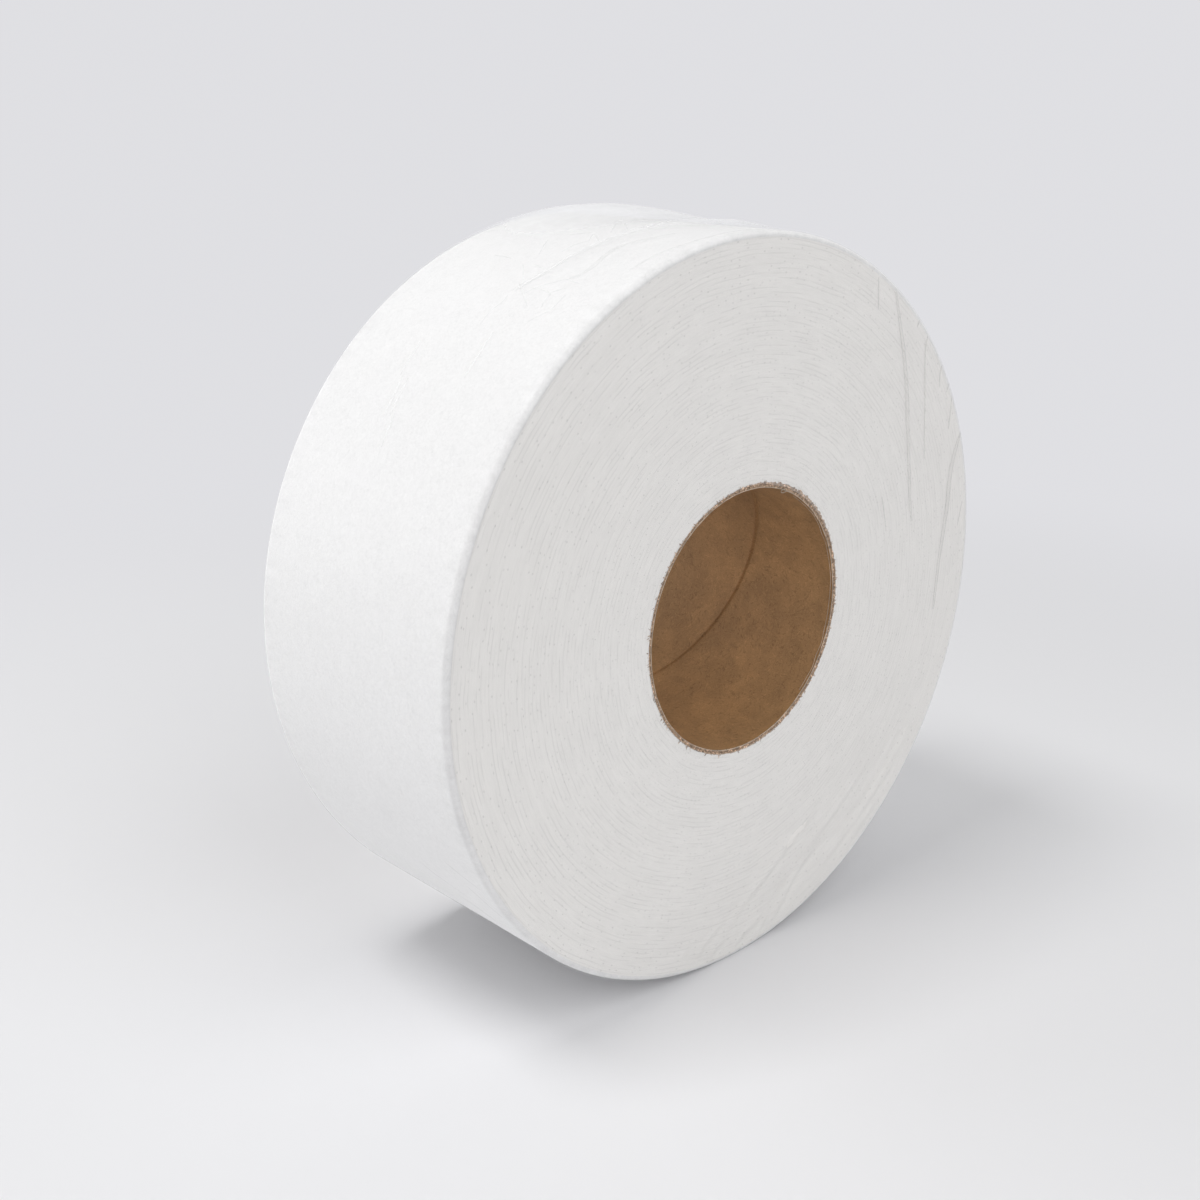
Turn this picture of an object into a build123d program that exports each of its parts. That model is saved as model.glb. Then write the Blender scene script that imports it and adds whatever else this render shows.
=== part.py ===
from build123d import *
from math import cos, pi, radians, sin
import os

# A jumbo toilet paper roll in clear shrink film, lying on its rim. Sizes are in millimetres.
# Y is the roll's axis, the end face in view looks along -Y, and +Z is up.
# The origin is the middle of the core's bore.

# Wrapped roll, measured over the film
roll_diameter = 229.0
roll_width = 86.6

# Soft rim, rounded in a few flats, and how far the roll is pressed flat where it rests
rim_rounding = 2.0
rim_flats = 2
flat_depth = 0.6

# Clear film, drawn thicker than the real 0.02 so that it keeps a closed section
film_thickness = 0.15
film_slack = 0.05
film_opening_margin = 0.4

# Cardboard tube that the paper is wound on
core_diameter = 83.0
core_wall = 1.0
core_recess = 0.3
core_fit = 0.05

# Edges of the wound turns, which stand out or lie back in bands on both end faces.
# Each row is a place from the core to the rim, and a depth below the highest turn.
turn_relief = 0.4
turn_shares = (
    (0.0, 0.5),
    (0.12, 1.0),
    (0.27, 0.1),
    (0.43, 0.9),
    (0.6, 0.0),
    (0.77, 0.8),
    (0.92, 0.1),
)

# Folds pinched in the film, each with a root that goes in deeper than the film before it is trimmed
fold_width = 1.2
fold_root = 0.5
face_fold_height = 0.3
wall_fold_height = 1.0

# Tension folds on the end face in view. Each row is the angle where the fold leaves the rim,
# the angle where it runs out, and how far out that is. Angles are in degrees up from +X.
face_fold_shares = (
    (61, 57, 0.9),
    (55, 11, 0.72),
    (43, 29, 0.84),
    (37, 33, 0.94),
    (29, 25, 0.93),
    (21, -10, 0.86),
    (9, 5, 0.93),
    (-60, -49, 0.92),
    (-74, -70, 0.92),
    (-82, -76, 0.89),
    (-88, -84, 0.9),
    (-94, -76, 0.79),
    (-100, -96, 0.9),
    (-107, -104, 0.91),
)

# Two long folds over the top of the round wall. Each row is an angle, a place along the roll
# from its middle to an end face, and a height.
long_fold_shares = (
    (120, -0.05, 0.0),
    (116, -0.13, 0.4),
    (112, -0.2, 0.5),
    (108, -0.25, 0.6),
    (104, -0.26, 0.7),
    (100, -0.26, 0.8),
    (96, -0.28, 0.9),
    (92.5, -0.35, 1.0),
    (90, -0.48, 1.0),
    (88.5, -0.66, 0.9),
    (88, -0.85, 0.0),
)
short_fold_shares = (
    (120, -0.44, 0.0),
    (116, -0.45, 0.4),
    (111, -0.52, 0.6),
    (106, -0.5, 0.5),
    (102, -0.48, 0.0),
)

# Worked out from the sizes above
roll_radius = roll_diameter / 2
rest_height = roll_radius - flat_depth
film_gap = film_thickness + film_slack
core_radius = core_diameter / 2
core_length = roll_width - 2 * (film_gap + core_recess)
face_radius = roll_radius - rim_rounding


def rim_points(inset):
    """Half of the roll's outline, from the end face over the rounded rim to the middle of the wall."""
    rounding = rim_rounding - inset
    points = []
    for flat in range(rim_flats + 1):
        angle = pi / 2 * flat / rim_flats
        along = roll_width / 2 - rim_rounding + rounding * cos(angle)
        outward = face_radius + rounding * sin(angle)
        points.append((along, outward))
    points.append((0, roll_radius - inset))
    return points


def turn_points():
    """Half of the paper's outline at one end face, from the core out to the rim."""
    face = roll_width / 2 - film_gap
    bore_radius = core_radius + core_fit
    points = [(0, bore_radius)]
    for place_share, depth_share in turn_shares:
        outward = bore_radius + (face_radius - bore_radius) * place_share
        points.append((face - turn_relief * depth_share, outward))
    return points


def pressed_drum(inset, end_points):
    """A body turned about the roll's axis from half an outline, and pressed flat where it rests.

    The outline hangs down from the axis, so that the seam of the round faces is cut away by the flat.
    """
    with BuildPart() as drum:
        with BuildSketch(-Plane.YZ):
            with BuildLine():
                Polyline(*end_points, *rim_points(inset))
                mirror(about=Plane.YZ)
            make_face()
        revolve(axis=Axis.Y)
        split(bisect_by=Plane.XY.offset(inset - rest_height), keep=Keep.TOP)
    return drum.part


def around(angle):
    """The direction out from the roll's axis at an angle up from +X."""
    return Vector(cos(radians(angle)), 0, sin(radians(angle)))


def pinched_fold(places):
    """A low ridge of film through places on its outer face, running out to a point at both ends.

    Each place is a point, the direction that the face looks in there, and the ridge's height.
    """
    start, end = [Vertex(*(places[row][0] - places[row][1] * film_thickness / 2)) for row in (0, -1)]
    sections = []
    for before, (point, outward, height), after in zip(places, places[1:-1], places[2:]):
        along = (after[0] - before[0]).normalized()
        with BuildSketch(Plane(point, x_dir=outward.cross(along), z_dir=along)) as section:
            Polygon((-fold_width / 2, -fold_root), (fold_width / 2, -fold_root), (0, height))
        sections.append(section.sketch)
    return loft([start, *sections, end], ruled=True)


def face_fold(rim_angle, end_angle, end_share):
    """A straight fold on the end face in view, highest halfway."""
    outward = Vector(0, -1, 0)
    middle = outward * (roll_width / 2)
    start = middle + around(rim_angle) * face_radius
    end = middle + around(end_angle) * (roll_radius * end_share)
    halfway = (start + end) / 2
    return pinched_fold([(start, outward, 0), (halfway, outward, face_fold_height), (end, outward, 0)])


def wall_fold(fold_shares):
    """A fold that follows the round wall through a row of places."""
    places = []
    for angle, along_share, height_share in fold_shares:
        point = around(angle) * roll_radius + Vector(0, along_share * roll_width / 2, 0)
        places.append((point, around(angle), wall_fold_height * height_share))
    return pinched_fold(places)


# Outer and inner forms of the film, and the folds that stand on it
film_opening = core_radius + film_opening_margin
film_outside = pressed_drum(0, [(0, film_opening), (roll_width / 2, film_opening)])
film_inside = pressed_drum(film_thickness, [(0, core_wall), (roll_width / 2 - film_thickness, core_wall)])
face_folds = [face_fold(*row) for row in face_fold_shares]
wall_folds = [wall_fold(long_fold_shares), wall_fold(short_fold_shares)]

# Spiral-wound cardboard core, a plain tube open at both ends
with BuildPart() as cardboard_core:
    with BuildSketch(Plane.XZ):
        Circle(core_radius)
        Circle(core_radius - core_wall, mode=Mode.SUBTRACT)
    extrude(amount=core_length / 2, both=True)

# Paper wound on the core as one solid, with the turns' edges as rings on both end faces
with BuildPart() as tissue_roll:
    add(pressed_drum(film_gap, turn_points()))

# Clear film shrunk over the rim and both end faces, open at the core
with BuildPart() as shrink_film:
    add(film_outside)
    add(face_folds)
    add(wall_folds)
    add(film_inside, mode=Mode.SUBTRACT)

cardboard_core.part.label = "cardboard_core"
tissue_roll.part.label = "tissue_roll"
shrink_film.part.label = "shrink_film"

os.makedirs("parts", exist_ok=True)
export_step(cardboard_core.part, "parts/cardboard_core.step")
export_step(tissue_roll.part, "parts/tissue_roll.step")
export_step(shrink_film.part, "parts/shrink_film.step")
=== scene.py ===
"""Looks of a jumbo toilet paper roll in clear shrink film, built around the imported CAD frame.

Shapes are worked out in millimetres in the CAD's own frame: Y is the roll's axis, the end face in
view looks along -Y, and +Z is up. Angles are in degrees round the axis, from +X towards +Z.
"""
from math import cos, pi, radians, sin

import bpy
import numpy as np
from mathutils import Matrix, Vector


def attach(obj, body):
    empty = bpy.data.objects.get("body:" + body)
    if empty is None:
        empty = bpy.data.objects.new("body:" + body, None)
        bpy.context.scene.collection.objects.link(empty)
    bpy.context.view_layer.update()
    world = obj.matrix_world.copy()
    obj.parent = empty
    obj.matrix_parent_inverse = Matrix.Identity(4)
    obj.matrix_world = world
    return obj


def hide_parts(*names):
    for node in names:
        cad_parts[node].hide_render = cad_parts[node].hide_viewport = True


MM = 0.001

# Sizes that the CAD model gives too
ROLL_RADIUS = 114.5
HALF_WIDTH = 43.3
RIM_ROUNDING = 2.0
REST_HEIGHT = 113.9
FILM_GAP = 0.2
PAPER_BORE = 41.55
CORE_OUTER = 41.5
CORE_INNER = 40.5
CORE_END = 42.8
FACE_RADIUS = ROLL_RADIUS - RIM_ROUNDING

# Millimetres round the wall for each degree
ARC = radians(1) * ROLL_RADIUS

# How deep the drawn film lies inside the CAD film's outside, and how high its strips begin over that
# outside
FILM_INSET = 0.03
STRIP_RISE = 0.03

# Step between rows of points along the round wall
WALL_STEP = 0.75

# Rings of turn edges on the end faces: grooves, how far they wander, and the face's slow swelling
RING_COUNT = 52
RING_DEPTH = 0.1
RING_WANDER = 0.1
RING_CELLS = 60
FACE_SWELL = 0.05

# Gathers in the film and the soft paper under it, low on the end face in view. Each is a row of
# places (x, z), then how wide and how high the step between its two sides is.
GATHER_GAIN = 1.25
GATHERS = (
    (((-2.7, -103.4), (3.9, -97.6), (13.5, -91.8), (24.6, -84.3), (36, -77.7)), 2.2, 0.45),
    (((15.2, -110.6), (20, -106.1), (25.6, -100.7), (32.6, -94.7), (42.8, -88.7)), 2.0, 0.5),
    (((-0.9, -112), (3, -108.9), (8.6, -106.9), (14.1, -103.8)), 1.8, 0.4),
    (((10.2, -111.5), (12.9, -108.6), (15.7, -105.4)), 1.6, 0.35),
    (((-19.3, -110.1), (-16.8, -107.1), (-14.2, -104.5), (-5.6, -100)), 1.8, 0.4),
    (((-12, -110.6), (-9.4, -108.6), (-6, -107.3)), 1.6, 0.35),
    (((-26.6, -106), (-24.7, -104.8), (-22.8, -103)), 1.6, 0.25),
    (
        ((37.6, -100.9), (43.5, -97.6), (52.4, -92), (61.4, -86.4), (70.5, -79.6), (78.1, -73.2)),
        2.2,
        0.35,
    ),
    (((52.8, -97.7), (58.8, -93.2), (67.9, -86.4), (77, -78.3)), 2.0, 0.3),
    (((31, -91.9), (39.6, -86.5), (49.8, -79.2), (58.6, -72.4), (67.6, -65.6)), 2.4, 0.35),
    (((62.4, -86), (76, -75), (89, -59), (97, -45)), 2.0, 0.35),
    (((58, -84), (72, -72), (84, -58), (92, -44)), 2.4, 0.3),
)

# A shallow trough along the rim beside those gathers: how deep, how far out and how wide it is, and
# the angles where it begins and ends
TROUGH_DEPTH = 0.9
TROUGH_RADIUS = 100
TROUGH_WIDTH = 6
TROUGH_START = -100
TROUGH_END = -15

# Pleats of the film on the end face in view, drawn as grey lines of painted shade: a row of places
# (x, z), then the width, and whether the film lies double between two edges or shows as one line
FACE_PLEATS = (
    (
        (
            (64.1, 92), (67.1, 82.5), (69.4, 75.4), (71.5, 67.3), (73.1, 59.7), (74.7, 49.4),
            (76.3, 38.9), (78.6, 23.4), (80.3, 15.7),
        ),
        2.0,
        True,
    ),
    (((82.5, 76.5), (81.7, 73.8), (81.9, 68), (82.9, 58.4), (84.1, 45.9), (85, 36)), 1.0, False),
    (((91.4, 65.9), (90.6, 63.5), (90.9, 58.9)), 0.8, False),
    (((98.4, 54.8), (98, 49.1), (97.6, 44.5)), 0.9, False),
    (
        (
            (105, 41.7), (102.7, 36.5), (101.1, 31), (100.4, 26), (100.3, 19.5), (99.1, 9),
            (97.7, -0.6), (96.3, -18.7),
        ),
        2.4,
        True,
    ),
    (((54.9, 97.3), (55.7, 87.4)), 0.8, False),
    (((77.4, 82.1), (76.5, 80)), 0.7, False),
    (((96, 59.7), (95.1, 56.8)), 0.7, False),
    (((108.9, 17.4), (108, 13), (107.1, 8.9)), 0.7, False),
    (((63.2, 27), (65, 21), (66.5, 15)), 0.6, False),
)

# The line where the loose film leaves the paper on top of the roll: angle and y
LOOSE_LINE = (
    (120, -4.8), (117.6, -5.9), (114.4, -8.1), (111.3, -8.4), (108.2, -9.2), (105.8, -10.2),
    (102.4, -11), (99.1, -11.6), (96, -12.6), (93, -13.4), (90, -14.8), (86, -17),
)

# How far the loose film stands off: rows of an angle and the height behind the line or in front of
# it, an angle and how far in front of the line it eases off, and y and the share left at the far rim
LOOSE_PEAKS = (
    (66, 0), (76, 1.6), (84, 3.6), (90, 3.5), (94, 2.6), (99, 1.8), (104, 1.1), (110, 0.5), (117, 0),
)
FRONT_PEAKS = ((66, 0), (76, 0.8), (84, 1.6), (90, 1.5), (94, 1.0), (100, 0.6), (110, 0.3), (118, 0))
FRONT_REACHES = ((84, 9.0), (90, 8.0), (96, 4.5), (110, 2.5))
FAR_RIM_SHARES = ((26, 1), (34.5, 0.78), (41.3, 0.54))

# How far behind the line the loose film is at its highest, and how far from the rim in view it begins
LOOSE_REACH = 42
LOOSE_RIM_MARGIN = 1
LOOSE_RIM_EASE = 8

# Fine creases of the film on the round wall, each a grey middle of painted shade between pale
# edges of painted highlight: rows of places (angle, y)
WALL_CREASES = (
    ((118.1, -3.3), (120.3, -9.6), (122.5, -15.7)),
    ((113.7, 4.1), (115.6, 0), (117.4, -3.7)),
    ((115.8, -8.7), (114.4, -8.1), (114, -4.8), (113.4, 0)),
    ((118.7, -12.2), (119.3, -18.6), (120.8, -19.7), (122.4, -21)),
    ((119.3, -18.6), (118.5, -20), (117.9, -22.2)),
    ((115.9, -18.4), (116.2, -21.4), (116.5, -24.9)),
    ((109.4, -3.1), (106.7, -3.2), (105, -5.5)),
    ((105, -5.5), (102.5, -2.2), (103.6, -6), (104.7, -8.8)),
    ((101.1, -6.5), (98, -2), (94.7, 1.7)),
    ((94.7, 1.7), (97, -4), (99.1, -9.4)),
    ((110.8, 3.3), (108, 7), (106.5, 8.4)),
    ((104.1, 4.7), (103.1, 2.3), (102.2, -1.1)),
    ((127, -4.7), (124.3, -4.1), (122.7, -5), (120.8, -4.5)),
    ((112.5, 19.3), (112.5, 15.3), (112.7, 11)),
    ((125.2, -21.1), (122.3, -24.9), (119.1, -24.7)),
    ((120.3, -9.6), (118.4, -12), (115.9, -18.4)),
    ((210.9, -7.7), (212.6, -14.3), (214.2, -25.1)),
    ((205.8, -26.1), (207.2, -31.9), (208.4, -38.2)),
    ((215.8, -18.1), (217.2, -24.9), (219.1, -30.1)),
    ((209.5, -30), (212, -35.5), (214.5, -39.8)),
)

# Painted highlights: pale streaks of white film over the wall
WALL_STREAKS = (
    ((137.8, 9.7), (141, 9), (144, 8.4)),
    ((137.6, 7.5), (140.6, 6.9), (143.6, 6.2)),
    ((131.5, 12.8), (134.5, 12), (137.5, 11.4)),
    ((143, 4.6), (145.5, 4.1), (148, 3.5)),
    ((128, -12), (132, -13.2), (136, -14)),
)

# Softer folds, which show in the paper as well: a row of places (angle, y), then width and height
SECOND_FOLD = (
    (115.6, -19.1), (114.5, -21.3), (111.9, -21.6), (108.1, -19.7), (105.4, -19.3), (102, -22),
    (98, -26),
)
RIM_FOLD = (
    (112, -35.4), (109.6, -35.6), (105.7, -36.2), (103.8, -37.2), (100.2, -38.7), (97.3, -39.4),
    (94, -39.8), (91.2, -40.4), (88, -40.6),
)
WALL_FOLDS = ((LOOSE_LINE, 1.6, 0.30), (SECOND_FOLD, 2.2, 0.25), (RIM_FOLD, 1.4, 0.2))

# Painted shade along the shaded sides of those folds, as grey film strips: a row of places, how far
# aside they are, a width, and whether it is crisp
WALL_SHADES = (
    (LOOSE_LINE, 0.8, 0.8, True),
    (SECOND_FOLD, 0.0, 2.4, False),
    (RIM_FOLD, 0.0, 1.6, False),
)

# The core's spiral seam: where it lies along the core, and how far it goes along for each degree.
# Across it, rows of a place and how far the surface stands in towards the axis.
SEAM_START = 6.5
SEAM_PITCH = 0.282
SEAM = (
    (-1.6, 0), (-0.8, 0.08), (-0.35, 0.3), (-0.08, 0.42), (0.0, 0.1), (0.06, -0.18), (0.2, -0.15),
    (0.5, 0),
)

# How far the torn board reaches out round the core's ends: rows of an angle and a reach
FRAY_REACHES = (
    (-180, 0.2), (-135, 0.22), (-100, 0.4), (-60, 0.45), (-20, 0.35), (20, 0.45), (45, 0.9),
    (65, 1.1), (85, 0.6), (110, 0.2), (150, 0.15), (180, 0.2),
)

# A place on the core's edge where the film's cut edge curls up
CURL = ((15.8, 37.9), (14.6, 38), (13.8, 37.8), (13.5, 37.4), (13.9, 37.1), (14.6, 37), (16, 37.2))

# The film's opening: the lip over the core's end, and the rows over the end face, as places out from
# the axis and along it
LIP_RADII = (41.55, 41.7, 41.95, 42.4, 43.0)
LIP_LENGTHS = (43.1, 43.16, 43.22, 43.26, 43.27)
FACE_RADII = (44, 47, 52, 58, 65, 73, 81, 88)

# Light: the world's level, and soft boxes with an azimuth from +X towards +Y, an elevation, a size
# in metres and a power in watts
BACKDROP = (0.742, 0.742, 0.768, 1)
WORLD_LEVEL = 0.42
LAMP_DISTANCE = 1.6
LAMPS = (("key", 165, 65, 0.5, 9.0), ("side", 120, 0, 1.3, 17.2), ("front", 270, 45, 1.3, 8.7))

# The photograph's camera, from a fit to the roll's outlines
CAMERA_AZIMUTH = -43.163
CAMERA_ELEVATION = 18.508
CAMERA_LENS = 46.364
CAMERA_PLACE = (-0.331783, -0.332186, 0.153145)

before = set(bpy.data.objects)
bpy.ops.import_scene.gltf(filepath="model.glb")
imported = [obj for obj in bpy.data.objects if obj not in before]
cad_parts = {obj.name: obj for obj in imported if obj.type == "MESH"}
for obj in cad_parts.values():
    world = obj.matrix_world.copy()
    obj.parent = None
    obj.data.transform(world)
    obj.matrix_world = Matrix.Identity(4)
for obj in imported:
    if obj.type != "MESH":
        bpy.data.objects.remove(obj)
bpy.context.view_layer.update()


def spread(*stretches):
    """Angles round the axis. Each stretch has a start, an end and a step."""
    columns = []
    for start, end, step in stretches:
        columns.append(np.linspace(start, end, round((end - start) / step), endpoint=False))
    return np.concatenate(columns)


# Columns of points round the axis, closer where the film has creases. Those of the wall and the film
# begin below the angles of the loose film, so that its tables hold for every column.
WALL_COLUMNS = spread((60, 84, 0.8), (84, 128, 0.28), (128, 216, 0.8), (216, 420, 1.6))
END_COLUMNS = spread((-120, -32, 0.45), (-32, 240, 0.9))
PLAIN_COLUMNS = spread((0, 360, 0.9))
FILM_COLUMNS = spread((60, 84, 0.6), (84, 128, 0.28), (128, 236, 1.5), (236, 328, 0.6), (328, 420, 1.8))


def table(places, rows):
    """Values between the rows of a table, each of which has a place and its value."""
    known, values = np.array(rows, float).T
    return np.interp(places, known, values)


def pressed(points):
    """Presses points flat where the roll rests."""
    points[..., 2] = np.maximum(points[..., 2], -REST_HEIGHT)
    return points


def round_points(radii, angles, lengths):
    """Points round the roll's axis. The three arrays are broadcast together."""
    radii, angles, lengths = np.broadcast_arrays(radii, np.radians(angles), lengths)
    return np.stack([radii * np.cos(angles), lengths, radii * np.sin(angles)], axis=-1)


def smooth_noise(seed, places, angles, cells):
    """Noise from -1 to 1, smooth from one place to the next and over so many cells round the axis."""
    places = np.asarray(places, float)
    random = np.random.default_rng(seed)
    knots = random.uniform(-1, 1, (int(places.max()) + 2, cells))
    column = (angles / 360 % 1) * cells
    row_from, column_from = places.astype(int), column.astype(int) % cells
    row_share, column_share = places - row_from, column - np.floor(column)
    row_share = (row_share**2 * (3 - 2 * row_share))[:, None]
    column_share = column_share**2 * (3 - 2 * column_share)
    column_to = (column_from + 1) % cells
    near, far = (
        knots[row][:, column_from] * (1 - column_share) + knots[row][:, column_to] * column_share
        for row in (row_from, row_from + 1)
    )
    return near * (1 - row_share) + far * row_share


def smooth_path(knots, count):
    """A smooth line through knots."""
    knots = np.asarray(knots, float)
    padded = np.concatenate([[2 * knots[0] - knots[1]], knots, [2 * knots[-1] - knots[-2]]])
    places = []
    for spot in np.linspace(0, len(knots) - 1, count):
        index = min(int(spot), len(knots) - 2)
        share = spot - index
        before, start, end, after = padded[index : index + 4]
        curve = 2 * start + (end - before) * share
        curve = curve + (2 * before - 5 * start + 4 * end - after) * share**2
        places.append(0.5 * (curve + (3 * start - before - 3 * end + after) * share**3))
    return np.array(places)


def beside(path, across, along):
    """How far flat places are from a line, positive on its left, and the share of its length there."""
    offsets = np.full(across.shape, 1e6)
    shares = np.zeros(across.shape)
    steps = np.diff(path, axis=0)
    lengths = np.hypot(steps[:, 0], steps[:, 1])
    starts = np.concatenate([[0], np.cumsum(lengths)])
    for (x, y), (step_x, step_y), length, start in zip(path, steps, lengths, starts):
        share = np.clip(((across - x) * step_x + (along - y) * step_y) / length**2, 0, 1)
        off_x, off_y = across - x - share * step_x, along - y - share * step_y
        distance = np.hypot(off_x, off_y)
        side = np.where(step_x * off_y - step_y * off_x < 0, -1, 1)
        nearer = distance < np.abs(offsets)
        offsets = np.where(nearer, distance * side, offsets)
        shares = np.where(nearer, (start + share * length) / starts[-1], shares)
    return offsets, shares


def gather_heights(points):
    """How far the gathers lift the surface of the end face in view."""
    x, z = points[..., 0], points[..., 2]
    lift = np.zeros(x.shape)
    near = (z < -60) & (x > -45)
    for knots, width, height in GATHERS:
        path = smooth_path(knots, 8 * len(knots))
        offsets, shares = beside(path, x[near], z[near])
        taper = np.sin(pi * np.clip(shares, 0.03, 0.97)) ** 0.7
        sides = (width / 2, -width / 2)
        up, down = (np.exp(-(((offsets - side) / (0.8 * width)) ** 2)) for side in sides)
        lift[near] += GATHER_GAIN * height * taper * (up - down)
    angles = np.degrees(np.arctan2(z, x))
    window = np.clip(np.minimum(angles - TROUGH_START, TROUGH_END - angles) / 30, 0, 1)
    lift -= TROUGH_DEPTH * window * np.exp(-(((np.hypot(x, z) - TROUGH_RADIUS) / TROUGH_WIDTH) ** 2))
    return lift


def fold_heights(folds, angles, lengths, crease=0.6):
    """How far soft folds lift the round wall, and how deep the crease beside each one is."""
    across, along = np.broadcast_arrays(angles * ARC, lengths)
    lift = np.zeros(across.shape)
    for knots, width, height in folds:
        path = smooth_path(knots, 8 * len(knots)) * [ARC, 1]
        low, high = path.min(axis=0) - 4 * width, path.max(axis=0) + 4 * width
        near = (across > low[0]) & (across < high[0]) & (along > low[1]) & (along < high[1])
        offsets, shares = beside(path, across[near], along[near])
        taper = np.sin(pi * np.clip(shares, 0.02, 0.98)) ** 0.5
        ridge = np.exp(-(((offsets - width) / width) ** 2))
        valley = np.exp(-((offsets / (0.45 * width)) ** 2))
        lift[near] += height * taper * (ridge - crease * valley)
    return lift


def loose_heights(angles, lengths):
    """How far the loose film stands off the top of the roll, behind its line and just in front of it."""
    line = table(angles, LOOSE_LINE[::-1])
    share = np.clip((lengths - line) / LOOSE_REACH, 0, 1)
    behind = table(angles, LOOSE_PEAKS) * share * (2 - share) * table(lengths, FAR_RIM_SHARES)
    reach = table(angles, FRONT_REACHES)
    front = table(angles, FRONT_PEAKS) * np.exp(-(((lengths - line + 0.6 * reach) / reach) ** 2))
    near_rim = np.clip((lengths + HALF_WIDTH - LOOSE_RIM_MARGIN) / LOOSE_RIM_EASE, 0, 1)
    return (behind + front) * near_rim


def film_heights(angles, lengths):
    """How far the film stands off the round wall."""
    return loose_heights(angles, lengths) + fold_heights(WALL_FOLDS, angles, lengths, 0)


def grid_faces(rows, columns, closed):
    """Quads between the points of a grid, which may close on itself along the columns."""
    quads = columns if closed else columns - 1
    row, column = np.meshgrid(np.arange(rows - 1), np.arange(quads), indexing="ij")
    after = (column + 1) % columns
    here, there = row * columns, (row + 1) * columns
    corners = [here + column, here + after, there + after, there + column]
    return np.stack(corners, axis=-1).reshape(-1, 4)


def make_piece(name, patches, replaces=None):
    """One smooth mesh from patches of points in millimetres, faces and a material. It rides on the roll."""
    mesh = bpy.data.meshes.new(name)
    points, faces, indices, materials, start = [], [], [], [], 0
    for patch_points, patch_faces, material in patches:
        flat = np.asarray(patch_points, float).reshape(-1, 3) * MM
        points.append(flat)
        faces += (np.asarray(patch_faces) + start).tolist()
        if material not in materials:
            materials.append(material)
        indices += [materials.index(material)] * len(patch_faces)
        start += len(flat)
    mesh.from_pydata(np.concatenate(points).tolist(), [], faces)
    for material in materials:
        mesh.materials.append(material)
    mesh.polygons.foreach_set("material_index", indices)
    mesh.polygons.foreach_set("use_smooth", [True] * len(faces))
    mesh.update()
    piece = bpy.data.objects.new(name, mesh)
    bpy.context.scene.collection.objects.link(piece)
    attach(piece, "root")
    if replaces:
        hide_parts(replaces)


class Nodes:
    """Nodes of a material or the world. An input takes a plain value or another node's output."""

    def __init__(self, owner):
        owner.use_nodes = True
        self.tree = owner.node_tree
        self.tree.nodes.clear()

    def add(self, kind, inputs, output=0, **settings):
        node = self.tree.nodes.new("ShaderNode" + kind)
        for name, value in settings.items():
            setattr(node, name, value)
        for name, value in inputs.items():
            if isinstance(value, bpy.types.NodeSocket):
                self.tree.links.new(value, node.inputs[name])
            else:
                node.inputs[name].default_value = value
        return node.outputs[output] if len(node.outputs) else node

    def math(self, operation, first, second=0.0):
        return self.add("Math", {0: first, 1: second}, operation=operation)

    def seen(self):
        """1 for the rays that show the background itself or a reflection of it, 0 for those that light."""
        seen = self.add("LightPath", {}, output="Is Camera Ray")
        for ray in ("Is Glossy Ray", "Is Transmission Ray"):
            seen = self.math("MAXIMUM", seen, self.add("LightPath", {}, output=ray))
        return seen


class Shader(Nodes):
    """A material's nodes."""

    def __init__(self, name):
        self.material = bpy.data.materials.new(name)
        super().__init__(self.material)
        self.point = self.add("TexCoord", {}, output="Object")

    def product(self, first, *others):
        for other in others:
            first = self.math("MULTIPLY", first, other)
        return first

    def remap(self, value, low, high, new_low, new_high):
        """Carries a value from one range to another, with soft ends."""
        old_range = {"Value": value, "From Min": low, "From Max": high}
        new_range = {"To Min": new_low, "To Max": new_high}
        return self.add("MapRange", old_range | new_range, interpolation_type="SMOOTHSTEP")

    def axes(self):
        """The point's x, y and z, and how far it is from the roll's axis."""
        x, y, z = (self.add("SeparateXYZ", {"Vector": self.point}, output=axis) for axis in range(3))
        return x, y, z, self.math("SQRT", self.math("ADD", self.product(x, x), self.product(z, z)))

    def vector(self, x, y, z=0.0):
        return self.add("CombineXYZ", {"X": x, "Y": y, "Z": z})

    def scaled(self, vector, factor):
        return self.add("VectorMath", {0: vector, "Scale": factor}, operation="SCALE")

    def noise(self, scale, detail=2.0, distortion=0.0, vector=None):
        place = self.scaled(self.point, scale) if vector is None else vector
        inputs = {"Vector": place, "Scale": 1.0, "Detail": detail, "Distortion": distortion}
        return self.add("TexNoise", inputs)

    def lines(self, scale, width, low, high, detail=2.0, distortion=1.5):
        """Thin wandering lines, as short fibres make. The tone is low on a line and high beside it."""
        level = self.math("SUBTRACT", self.noise(scale, detail, distortion), 0.5)
        return self.remap(self.math("ABSOLUTE", level), 0.0, width, low, high)

    def dots(self, vector, size, dark):
        """Small round dots of painted shade on a sheet, some darker than others."""
        cells = {"Vector": vector, "Scale": 1.0, "Randomness": 0.75}
        distance = self.add("TexVoronoi", cells, output=0, voronoi_dimensions="2D")
        chance = self.add("TexVoronoi", cells, output=1, voronoi_dimensions="2D")
        hole = self.remap(distance, 0.4 * size, size, 1.0, 0.0)
        return self.product(hole, self.remap(chance, 0.3, 0.75, 0.0, dark))

    def finish(self, inputs):
        self.add("OutputMaterial", {"Surface": self.add("BsdfPrincipled", inputs)})
        return self.material


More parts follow.
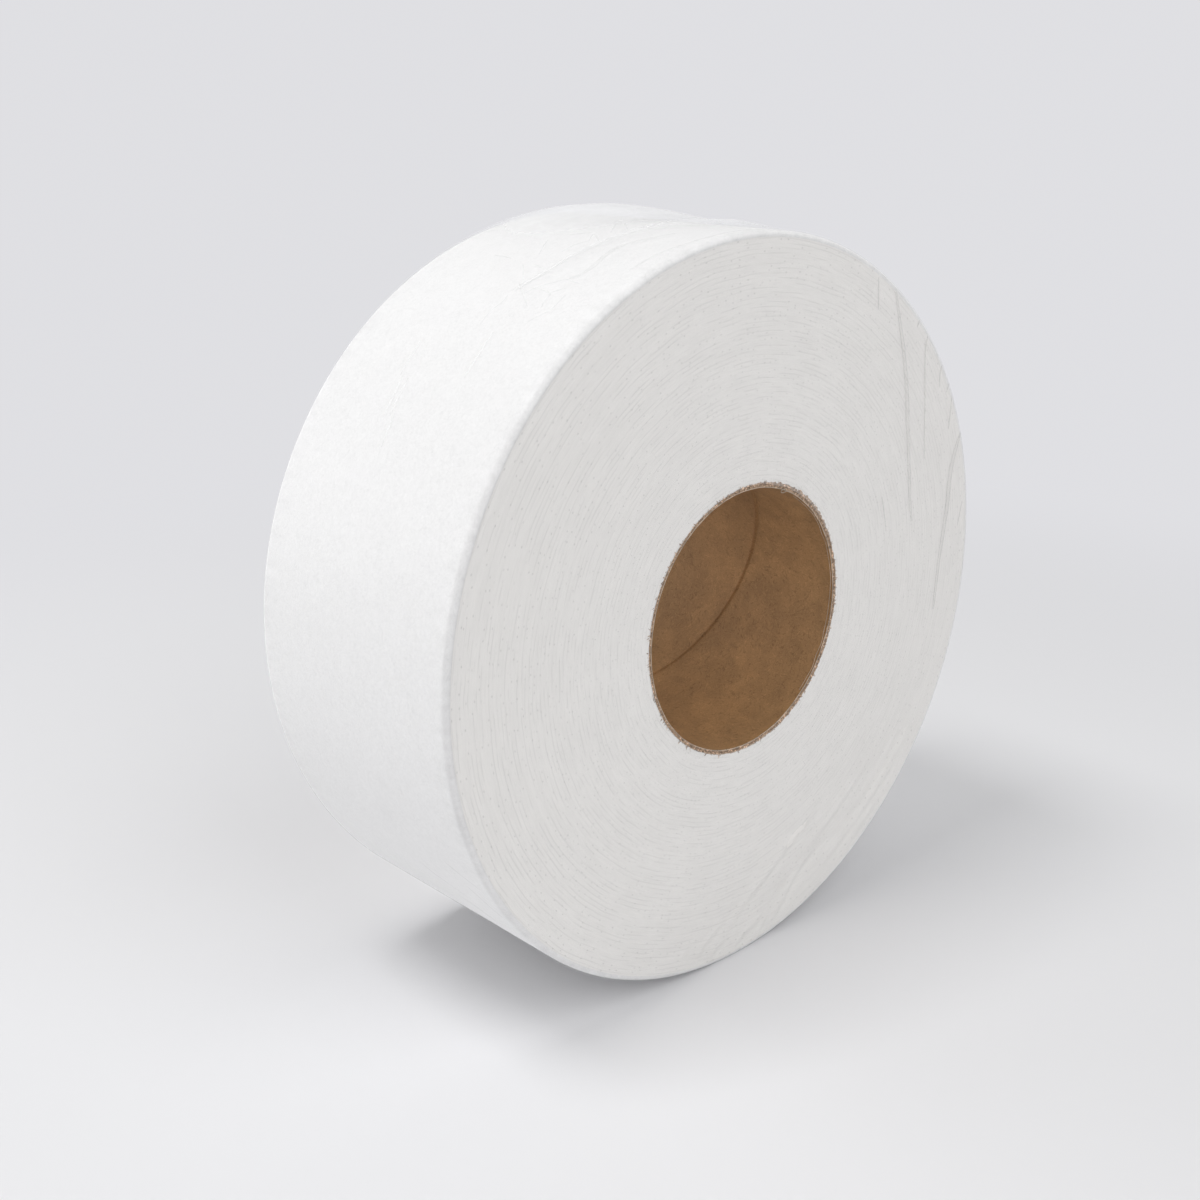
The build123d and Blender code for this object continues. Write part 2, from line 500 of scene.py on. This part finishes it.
def tissue_end_material():
    """White tissue seen from its cut edges: dark dash lines of painted shade in the gaps between the turns,
    and small dark dots, painted shade where the turns leave small gaps.
    """
    shader = Shader("tissue_end")
    x, _, z, out = shader.axes()
    turn_x, turn_z = shader.math("DIVIDE", x, out), shader.math("DIVIDE", z, out)

    def along_turns(start, pitch, cells):
        """Noise drawn out along the turns, with a radial pitch in metres and cells in each radian."""
        place = shader.math("ADD", shader.product(out, 1 / pitch), start)
        stretched = shader.vector(place, shader.product(turn_x, cells), shader.product(turn_z, cells))
        return shader.noise(1.0, 1.0, vector=stretched)

    # Dark dash lines along the gaps between the turns: painted shade
    sway = shader.noise(70.0, 1.0)
    phase = shader.math("FRACT", shader.math("ADD", shader.product(out, 1 / 0.00135), sway))
    middle = shader.math("ABSOLUTE", shader.math("SUBTRACT", phase, 0.5))
    gap = shader.remap(middle, 0.0, 0.2, 1.0, 0.0)
    dash_shade = shader.remap(along_turns(3.0, 0.0014, 9.0), 0.42, 0.6, 0.0, 0.11)
    # The film lies tight low on the right, where the turns hardly show and the painted shade of the dash
    # lines is weaker
    low = shader.math("SUBTRACT", shader.product(x, 0.64), shader.product(z, 0.77))
    tight = shader.remap(low, 0.075, 0.098, 1.0, 0.25)
    streaks = along_turns(40.0, 0.0006, 14.0)
    bands = along_turns(80.0, 0.002, 5.0)
    clouds = shader.noise(60.0, 2.0)
    # Cells of a dot each: 470 for each metre out from the axis and 32 for each radian round it
    # Dots of painted shade where the turns leave small gaps
    turn = shader.math("ARCTAN2", x, z)
    hole_shade = shader.dots(shader.vector(shader.product(out, 470.0), shader.product(turn, 32.0)), 0.14, 0.22)
    tone = shader.product(
        shader.math("SUBTRACT", 1.0, shader.product(gap, dash_shade, tight)),
        shader.remap(streaks, 0.3, 0.7, 0.98, 1.007),
        shader.remap(bands, 0.3, 0.7, 0.98, 1.006),
        shader.remap(clouds, 0.3, 0.7, 0.994, 1.004),
        shader.math("SUBTRACT", 1.0, hole_shade),
    )
    height = shader.math("SUBTRACT", streaks, shader.math("ADD", shader.product(hole_shade, 3.0), gap))
    bump = shader.add("Bump", {"Height": height, "Strength": 0.14, "Distance": 0.15 * MM})
    return shader.finish(
        {
            "Base Color": shader.scaled((0.925, 0.906, 0.881), tone),
            "Roughness": 0.85,
            "Normal": bump,
            "Sheen Weight": 0.1,
        }
    )


def tissue_side_material():
    """White tissue seen flat: a felted surface of short fibres, gathered a little along the rims, with the
    gathers' light and shade painted in.
    """
    shader = Shader("tissue_side")
    x, y, z, out = shader.axes()
    felt = shader.noise(1100.0, 2.0, 1.2)
    patches = shader.noise(120.0, 2.0)
    clouds = shader.noise(45.0, 2.0)
    # Gathers: 44 cells for each radian round the roll and 110 for each metre along it
    turn_x, turn_z = shader.math("DIVIDE", x, out), shader.math("DIVIDE", z, out)
    drawn_out = shader.vector(
        shader.product(turn_x, 44.0), shader.product(y, 110.0), shader.product(turn_z, 44.0)
    )
    gathers = shader.noise(1.0, 1.0, vector=drawn_out)
    rim = shader.remap(shader.math("ABSOLUTE", y), 0.032, 0.042, 0.0, 1.0)
    # Painted light and shade of the gathers, lighter and darker by turns near the rims
    gathers_light_and_shade = shader.product(shader.math("SUBTRACT", gathers, 0.52), rim, 0.2)
    tone = shader.product(
        shader.lines(420.0, 0.035, 0.925, 1.0),
        shader.lines(560.0, 0.03, 1.04, 1.0),
        shader.remap(felt, 0.3, 0.7, 0.96, 1.028),
        shader.remap(patches, 0.3, 0.7, 0.996, 1.003),
        shader.remap(clouds, 0.3, 0.7, 0.996, 1.003),
        shader.math("ADD", 1.0, gathers_light_and_shade),
    )
    height = shader.math("ADD", felt, shader.product(gathers, rim, 4.0))
    bump = shader.add("Bump", {"Height": height, "Strength": 0.3, "Distance": 0.15 * MM})
    return shader.finish(
        {
            "Base Color": shader.scaled((0.878, 0.873, 0.871), tone),
            "Roughness": 0.9,
            "Normal": bump,
            "Sheen Weight": 0.6,
        }
    )


def board_material():
    """Brown kraft board, mottled, with short darker and lighter fibres."""
    shader = Shader("kraft_board")
    fibres = shader.noise(1000.0, 3.0, 2.0)
    clouds = shader.noise(140.0, 3.0, 0.5)
    large = shader.noise(40.0, 1.0)
    specks = shader.noise(1300.0, 1.0)
    tone = shader.product(
        shader.lines(260.0, 0.03, 0.74, 1.0, 1.0, 2.0),
        shader.lines(330.0, 0.026, 1.24, 1.0, 1.0, 2.0),
        shader.remap(fibres, 0.25, 0.75, 0.92, 1.08),
        shader.remap(clouds, 0.3, 0.7, 0.9, 1.1),
        shader.remap(large, 0.35, 0.65, 0.93, 1.07),
        shader.remap(specks, 0.7, 0.8, 1.0, 0.75),
    )
    bump = shader.add("Bump", {"Height": fibres, "Strength": 0.3, "Distance": 0.12 * MM})
    return shader.finish(
        {"Base Color": shader.scaled((0.37, 0.211, 0.091), tone), "Roughness": 0.8, "Normal": bump}
    )


def frayed_board_material():
    """The core's torn ends, where the board is paler, with dark and light bits."""
    shader = Shader("frayed_board")
    fray = shader.noise(900.0, 3.0, 1.0)
    bits = shader.noise(1700.0, 1.0)
    tone = shader.product(
        shader.remap(fray, 0.3, 0.7, 0.5, 1.35),
        shader.remap(bits, 0.56, 0.66, 1.0, 2.2),
    )
    bump = shader.add("Bump", {"Height": fray, "Strength": 0.5, "Distance": 0.2 * MM})
    return shader.finish(
        {"Base Color": shader.scaled((0.38, 0.27, 0.19), tone), "Roughness": 0.9, "Normal": bump}
    )


def arris_material():
    """The pale line along the core's inner edge, where the film's cut edge lies on the board."""
    shader = Shader("film_edge_on_board")
    change = shader.noise(260.0, 2.0)
    tone = shader.remap(change, 0.35, 0.65, 0.6, 1.15)
    return shader.finish(
        {
            "Base Color": shader.scaled((0.66, 0.56, 0.45), tone),
            "Roughness": shader.remap(change, 0.3, 0.7, 0.35, 0.6),
        }
    )


def film_material(name, cover, colour, loose_cover=None):
    """Thin clear film. The cover is how much it veils what lies behind it, flat and where it is loose."""
    shader = Shader(name)
    veil, tint = cover, (*colour, 1)
    if loose_cover:
        # From where the film leaves the roll to where it stands well off
        out, start = shader.axes()[3], (ROLL_RADIUS + 0.1) * MM
        veil = shader.remap(out, start, (ROLL_RADIUS + 2.5) * MM, cover, loose_cover)
        tint = shader.scaled(colour, shader.remap(out, start, (ROLL_RADIUS + 1.5) * MM, 1.0, 1.07))
    haze = shader.noise(160.0, 3.0, 1.0)
    ripple = shader.noise(420.0, 2.0, 0.8)
    bump = shader.add("Bump", {"Height": ripple, "Strength": 0.06, "Distance": 0.1 * MM})
    shader.material.surface_render_method = "BLENDED"
    return shader.finish(
        {
            "Base Color": tint,
            "Roughness": shader.remap(haze, 0.3, 0.7, 0.3, 0.42),
            "Alpha": shader.product(shader.remap(haze, 0.3, 0.7, 0.97, 1.03), veil),
            "Normal": bump,
            "IOR": 1.5,
        }
    )


def end_face_points(side, angles, seed):
    """Rings of turn edges on one end face. The side is -1 for the face in view and 1 for the other."""
    rows = np.arange(2 * RING_COUNT + 1)
    radii = np.linspace(PAPER_BORE, FACE_RADIUS, len(rows))[:, None]
    groove = (rows % 2 == 0)[:, None]
    depths = groove * RING_DEPTH * (0.7 + 0.3 * smooth_noise(seed, rows, angles, RING_CELLS))
    depths += FACE_SWELL * smooth_noise(seed + 2, rows / 14, angles, 8) + FACE_SWELL
    depths[-1] = 0
    depths = np.clip(depths, 0, None)
    wander = RING_WANDER * smooth_noise(seed + 3, rows, angles, RING_CELLS)
    wander[0] = wander[-1] = 0
    points = round_points(radii + wander, angles, side * (HALF_WIDTH - FILM_GAP - depths))
    if side < 0:
        points[..., 1] -= gather_heights(points)
    return points


def outline(inset, rim_rows):
    """Rows over the wall from one end face to the other: radius, y and how far each faces outwards."""
    rounding = RIM_ROUNDING - inset
    turn = np.linspace(0, pi / 2, rim_rows)
    radii = FACE_RADIUS + rounding * np.sin(turn)
    lengths = -(HALF_WIDTH - RIM_ROUNDING + rounding * np.cos(turn))
    wall = np.linspace(lengths[-1], -lengths[-1], round(-2 * lengths[-1] / WALL_STEP) + 1)[1:-1]
    radii = np.concatenate([radii, np.full(len(wall), ROLL_RADIUS - inset), radii[::-1]])
    facing = np.concatenate([np.sin(turn), np.ones(len(wall)), np.sin(turn)[::-1]])
    return radii[:, None], np.concatenate([lengths, wall, -lengths[::-1]])[:, None], facing[:, None]


def make_paper():
    """Tissue wound on the core: two end faces of turn edges and the round wall between them."""
    end, side = tissue_end_material(), tissue_side_material()
    ends = (("paper_front_end", -1, END_COLUMNS, 11), ("paper_back_end", 1, PLAIN_COLUMNS, 21))
    for name, way, angles, seed in ends:
        points = pressed(end_face_points(way, angles, seed))
        faces = grid_faces(len(points), len(angles), True)
        make_piece(name, [(points, faces if way > 0 else faces[:, ::-1], end)])
    angles = WALL_COLUMNS
    radii, lengths, facing = outline(FILM_GAP, 7)
    rows = np.arange(len(radii))
    fine, broad = smooth_noise(31, rows / 3, angles, 150), smooth_noise(32, rows / 14, angles, 36)
    ripple = 0.012 * fine + 0.02 * broad
    lift = (ripple - 0.05 + fold_heights(WALL_FOLDS, angles[None, :], lengths)) * facing
    points = round_points(radii + lift, angles, lengths)
    # The outermost rows are tucked in behind the end faces
    tuck_in, tuck_under = 0.3, 0.12
    points[0] = round_points(radii[0] - tuck_in, angles, lengths[0] + tuck_under)
    points[-1] = round_points(radii[-1] - tuck_in, angles, lengths[-1] - tuck_under)
    points[:2, :, 1] -= gather_heights(points[:2])
    faces = grid_faces(len(points), len(angles), True)[:, ::-1]
    make_piece("paper_side", [(pressed(points), faces, side)], "tissue_roll")


def make_core():
    """Spiral-wound cardboard tube. Its columns run along the spiral, so that the seam is crisp."""
    board, frayed = board_material(), frayed_board_material()
    places, seam_rises = np.array(SEAM).T
    places = places / (radians(1) * CORE_INNER)
    plain = np.linspace(places[-1], 360 + places[0], 236)[1:-1]
    offsets = np.concatenate([places, plain])
    rises = np.concatenate([seam_rises, np.zeros(len(plain))])
    columns, rows = len(offsets), 61
    lengths = np.linspace(-CORE_END, CORE_END, rows)[:, None]
    angles = offsets[None, :] - (lengths + SEAM_START) / SEAM_PITCH
    ripple = 0.04 * smooth_noise(41, np.arange(rows) / 4, offsets, 24)
    inner = round_points(CORE_INNER - rises + ripple, angles, lengths)
    outer = round_points(CORE_OUTER, angles, lengths)
    faces = grid_faces(rows, columns, True)
    patches = [(inner, faces, board), (outer, faces[:, ::-1], board)]
    for row, way in ((0, -1), (-1, 1)):
        random = np.random.default_rng(43 + way)
        rounded = [inner[row] * [1.006, 1, 1.006], outer[row] * [0.995, 1, 0.995]]
        lip = np.stack([inner[row], *rounded, outer[row]])
        lip[1:3, :, 1] += way * random.uniform(-0.04, 0.1, (2, columns))
        lip[3, :, 1] -= way * random.uniform(0.0, 0.2, columns)
        faces = grid_faces(4, columns, True)
        patches.append((lip, faces[:, ::-1] if way < 0 else faces, frayed))
    make_piece("core_tube", patches, "cardboard_core")
    make_core_fray(frayed)


def make_core_fray(frayed):
    """A ragged collar of torn board round the core's outer edge, with loose bits, at both ends."""
    angles = spread((-180, 180, 0.3))
    # Rows of the collar: the share of its reach, or the place inside the core's edge, and the height
    out = np.array([-0.3, 0.1, 0.5, 1.0])[:, None]
    heights = np.array([-0.35, 0.3, 0.36, 0.3])[:, None]
    patches = []
    for way in (-1, 1):
        fine, broad = smooth_noise(55 + way, [0.0], angles, 520), smooth_noise(65 + way, [0.0], angles, 150)
        jagged = 0.3 * fine + 0.25 * broad
        reach = table(angles, FRAY_REACHES) * (1 + 1.1 * jagged[0])
        radii = CORE_OUTER + np.where(out > 0, out * reach, out)
        rise = 0.06 * smooth_noise(75 + way, [0, 1, 2, 3], angles, 300) + heights
        points = round_points(radii, angles, way * (CORE_END + rise))
        faces = grid_faces(4, len(angles), True)
        patches.append((points, faces[:, ::-1] if way < 0 else faces, frayed))
        patches.append(loose_bits(way, frayed))
    make_piece("core_fray", patches)


def loose_bits(way, material):
    """Small torn bits that stand out from the collar."""
    random = np.random.default_rng(51 + way)
    points, faces = [], []
    for angle in random.uniform(0, 2 * pi, 150):
        length, width, lean = random.uniform(0.3, 1.0), random.uniform(0.1, 0.3), random.normal(0, 0.6)
        out, side = np.array([cos(angle), 0, sin(angle)]), np.array([-sin(angle), 0, cos(angle)])
        base = out * (CORE_OUTER + random.uniform(0, 0.6)) + [0, way * (CORE_END + 0.32), 0]
        tip = base + out * length + side * lean * length + [0, way * 0.06, 0]
        wide, narrow = side * width, side * width * 0.3
        start = len(points)
        points += [base - wide, base + wide, tip + narrow, tip - narrow]
        faces.append([start, start + 1, start + 2, start + 3])
    return np.array(points), np.array(faces), material


def film_surface(angles):
    """The film over both end faces, the rims and the wall, with a lip turned over the core's ends."""
    radii, lengths, facing = outline(FILM_INSET, 8)
    face = np.concatenate([FACE_RADII, np.linspace(90, FACE_RADIUS, 20)[:-1]])
    edge_radii = np.concatenate([LIP_RADII, face])[:, None]
    edge_lengths = np.concatenate([LIP_LENGTHS, np.full(len(face), HALF_WIDTH - FILM_INSET)])[:, None]
    radii = np.concatenate([edge_radii, radii, edge_radii[::-1]])
    lengths = np.concatenate([-edge_lengths, lengths, edge_lengths[::-1]])
    facing = np.concatenate([0 * edge_radii, facing, 0 * edge_radii])
    rows = np.arange(len(radii))
    # The opening's edge wavers a little
    ends = (np.minimum(rows, rows[::-1]) < 3)[:, None]
    radii = radii + 0.16 * smooth_noise(61, rows / 2, angles, 90) * ends
    points = round_points(radii + film_heights(angles[None, :], lengths) * facing, angles, lengths)
    front = slice(len(LIP_RADII), len(edge_radii))
    points[front, :, 1] -= gather_heights(points[front])
    return pressed(points)


def directions(path):
    """The direction of a path at each of its points."""
    along = np.gradient(path, axis=0)
    return along / np.linalg.norm(along, axis=1)[:, None]


def strip_patches(knots, width, height, edge, middle, onto):
    """A narrow raised strip along a flat line, with other materials along its edges and middle.

    The onto function carries flat places, and a height over the film, to points.
    """
    path = smooth_path(knots, 10 * (len(knots) - 1))
    along = directions(path)
    aside = np.stack([-along[:, 1], along[:, 0]], axis=1)
    taper = np.sin(pi * np.linspace(0.02, 0.98, len(path))) ** 0.6
    # Across the strip: a share of the width, and of the height
    section = ((-0.5, 0.0), (-0.28, 0.6), (-0.08, 1.0), (0.08, 1.0), (0.28, 0.6), (0.5, 0.0))
    rows = []
    for place, rise in section:
        spots = path + aside * (place * width * (0.3 + 0.7 * taper))[:, None]
        rows.append(onto(spots, STRIP_RISE + rise * height * taper))
    points = np.stack(rows, axis=1)
    faces = grid_faces(len(path), len(section), False).reshape(len(path) - 1, -1, 4)
    return [
        (points, faces[:, [0, 4]].reshape(-1, 4), edge),
        (points, faces[:, 1:4].reshape(-1, 4), middle),
    ]


def on_face(places, off):
    """Points on the film over the end face in view, from places (x, z)."""
    return np.stack([places[:, 0], -HALF_WIDTH - off, places[:, 1]], axis=1)


def on_wall(places, off):
    """Points on the film over the round wall, from places (millimetres round the roll, y)."""
    angles, lengths = places[:, 0] / ARC, places[:, 1]
    return round_points(ROLL_RADIUS + film_heights(angles, lengths) + off, angles, lengths)


def wall_line(knots, aside=0.0):
    """A line over the wall, moved aside along the roll, with its angles in millimetres round it."""
    return np.array(knots) * [ARC, 1] + [0, aside]


def make_film():
    """Clear shrink film, with its pleats and creases as part of the same piece. Grey strips paint shade
    along them; whiter strips are film folded double and painted highlights.
    """
    clear = film_material("clear_film", 0.17, (0.93, 0.935, 0.94), 0.5)
    # These two are whiter: film folded double, and painted highlight along creases, streaks and the loose
    # film's line
    doubled_and_highlight = film_material("clear_film_doubled_and_highlight", 0.25, (0.96, 0.96, 0.96))
    pinched_and_highlight = film_material("clear_film_pinched_and_highlight", 0.7, (0.98, 0.98, 0.98))
    # The next three are grey, and paint shade along folds, pleats and creases
    faint_shade = film_material("clear_film_faint_painted_shade", 0.08, (0.62, 0.61, 0.6))
    shaded = film_material("clear_film_shaded", 0.2, (0.55, 0.535, 0.52))
    crease_shade = film_material("clear_film_crease_painted_shade", 0.065, (0.6, 0.59, 0.58))
    points = film_surface(FILM_COLUMNS)
    patches = [(points, grid_faces(len(points), len(FILM_COLUMNS), True)[:, ::-1], clear)]
    for knots, width, double in FACE_PLEATS:
        edge, middle = (shaded, faint_shade) if double else (faint_shade, shaded)
        patches += strip_patches(knots, width, 0.06, edge, middle, on_face)
    # Creases: pale edges of painted highlight round a grey middle of painted shade
    for knots in WALL_CREASES:
        patches += strip_patches(wall_line(knots), 0.45, 0.04, doubled_and_highlight, crease_shade, on_wall)
    # Streaks: painted highlights of white film
    for knots in WALL_STREAKS:
        patches += strip_patches(wall_line(knots), 0.5, 0.02, doubled_and_highlight, doubled_and_highlight, on_wall)
    # Shade painted in grey film along the folds
    for knots, aside, width, crisp in WALL_SHADES:
        middle = crease_shade if crisp else faint_shade
        patches += strip_patches(wall_line(knots, aside), width, 0.02, faint_shade, middle, on_wall)
    # A pale line of film pinched double and painted highlight where the loose film leaves the paper
    patches += strip_patches(wall_line(LOOSE_LINE, -0.5), 1.4, 0.12, doubled_and_highlight, pinched_and_highlight, on_wall)
    make_piece("film_wrap", patches, "shrink_film")


def tube_patch(path, radius, sides=6):
    """A thin round strand along a path of points."""
    along = directions(path)
    first = np.cross(along, [0.0, 1.0, 0.0])
    first /= np.linalg.norm(first, axis=1)[:, None]
    second = np.cross(along, first)
    turns = np.arange(sides) * 2 * pi / sides
    ring = [path + radius * (first * cos(turn) + second * sin(turn)) for turn in turns]
    return np.stack(ring, axis=1), grid_faces(len(path), sides, True)


def make_film_edge():
    """The film's cut edge, a pale thread on the core's inner arris, which curls up at one place."""
    edge = arris_material()
    patches = []
    for way in (-1, 1):
        angles = spread((0, 360.5, 0.5))
        sway = smooth_noise(81 + way, [0.0], angles, 60)[0]
        radii = CORE_INNER + 0.12 + 0.1 * sway
        path = round_points(radii, angles, way * (CORE_END + 0.12 + 0.05 * sway))
        patches.append((*tube_patch(path, 0.09), edge))
        angles = spread((-48, 60, 0.5))
        sway = smooth_noise(91 + way, [0.0], angles, 60)[0]
        radii = CORE_INNER - 0.15 + 0.08 * sway
        path = round_points(radii, angles, way * (CORE_END - 0.6 + 0.25 * sway))
        patches.append((*tube_patch(path, 0.07), edge))
    curl = smooth_path(CURL, 40)
    path = np.stack([curl[:, 0], np.full(len(curl), -CORE_END - 0.1), curl[:, 1]], axis=1)
    patches.append((*tube_patch(path, 0.11), edge))
    make_piece("film_edge", patches)


def make_stage():
    """A plain pale floor that runs out into the pale background."""
    shader = Shader("floor")
    distance = shader.add("VectorMath", {0: shader.point}, output="Value", operation="LENGTH")
    cover = shader.math("MULTIPLY", shader.seen(), shader.remap(distance, 0.25, 0.65, 0.0, 1.0))
    diffuse = shader.add("BsdfDiffuse", {"Color": (0.822, 0.822, 0.837, 1)})
    plain = shader.add("Emission", {"Color": BACKDROP, "Strength": 1.0})
    surface = shader.add("MixShader", {0: cover, 1: diffuse, 2: plain})
    shader.add("OutputMaterial", {"Surface": surface})
    mesh = bpy.data.meshes.new("floor")
    reach, down = 12.0, -REST_HEIGHT * MM
    corners = [(x * reach, y * reach, down) for x, y in ((-1, -1), (1, -1), (1, 1), (-1, 1))]
    mesh.from_pydata(corners, [], [(0, 1, 2, 3)])
    mesh.materials.append(shader.material)
    floor = bpy.data.objects.new("floor", mesh)
    bpy.context.scene.collection.objects.link(floor)


def make_world():
    """Soft even light from all round, and a pale background where the camera sees past the floor."""
    world = bpy.data.worlds.new("studio")
    bpy.context.scene.world = world
    nodes = Nodes(world)
    light = nodes.add("Background", {"Color": (1, 1, 1, 1), "Strength": WORLD_LEVEL})
    backdrop = nodes.add("Background", {"Color": BACKDROP})
    surface = nodes.add("MixShader", {0: nodes.seen(), 1: light, 2: backdrop})
    nodes.add("OutputWorld", {"Surface": surface})


def make_lamp(name, azimuth, elevation, size, power):
    """A square soft box that looks at the roll. The azimuth goes from +X towards +Y."""
    data = bpy.data.lights.new(name, "AREA")
    data.shape = "SQUARE"
    data.size = size
    data.energy = power
    lamp = bpy.data.objects.new(name, data)
    turn, rise = radians(azimuth), radians(elevation)
    towards = Vector((cos(rise) * cos(turn), cos(rise) * sin(turn), sin(rise)))
    lamp.location = towards * LAMP_DISTANCE
    lamp.rotation_euler = towards.to_track_quat("Z", "Y").to_euler()
    bpy.context.scene.collection.objects.link(lamp)


def make_camera():
    """The photograph's camera, from a fit to the roll's outlines."""
    azimuth, elevation = radians(CAMERA_AZIMUTH), radians(CAMERA_ELEVATION)
    back = Vector((sin(azimuth) * cos(elevation), -cos(azimuth) * cos(elevation), sin(elevation)))
    right = Vector((cos(azimuth), sin(azimuth), 0))
    turned = Matrix((right, back.cross(right), back)).transposed()
    data = bpy.data.cameras.new("camera")
    data.lens = CAMERA_LENS
    data.sensor_width = 36
    data.clip_start = 0.01
    camera = bpy.data.objects.new("camera", data)
    camera.matrix_world = Matrix.Translation(CAMERA_PLACE) @ turned.to_4x4()
    bpy.context.scene.collection.objects.link(camera)
    bpy.context.scene.camera = camera


make_paper()
make_core()
make_film()
make_film_edge()
make_stage()
make_world()
for lamp_row in LAMPS:
    make_lamp(*lamp_row)
make_camera()
bpy.context.scene.view_settings.view_transform = "Standard"
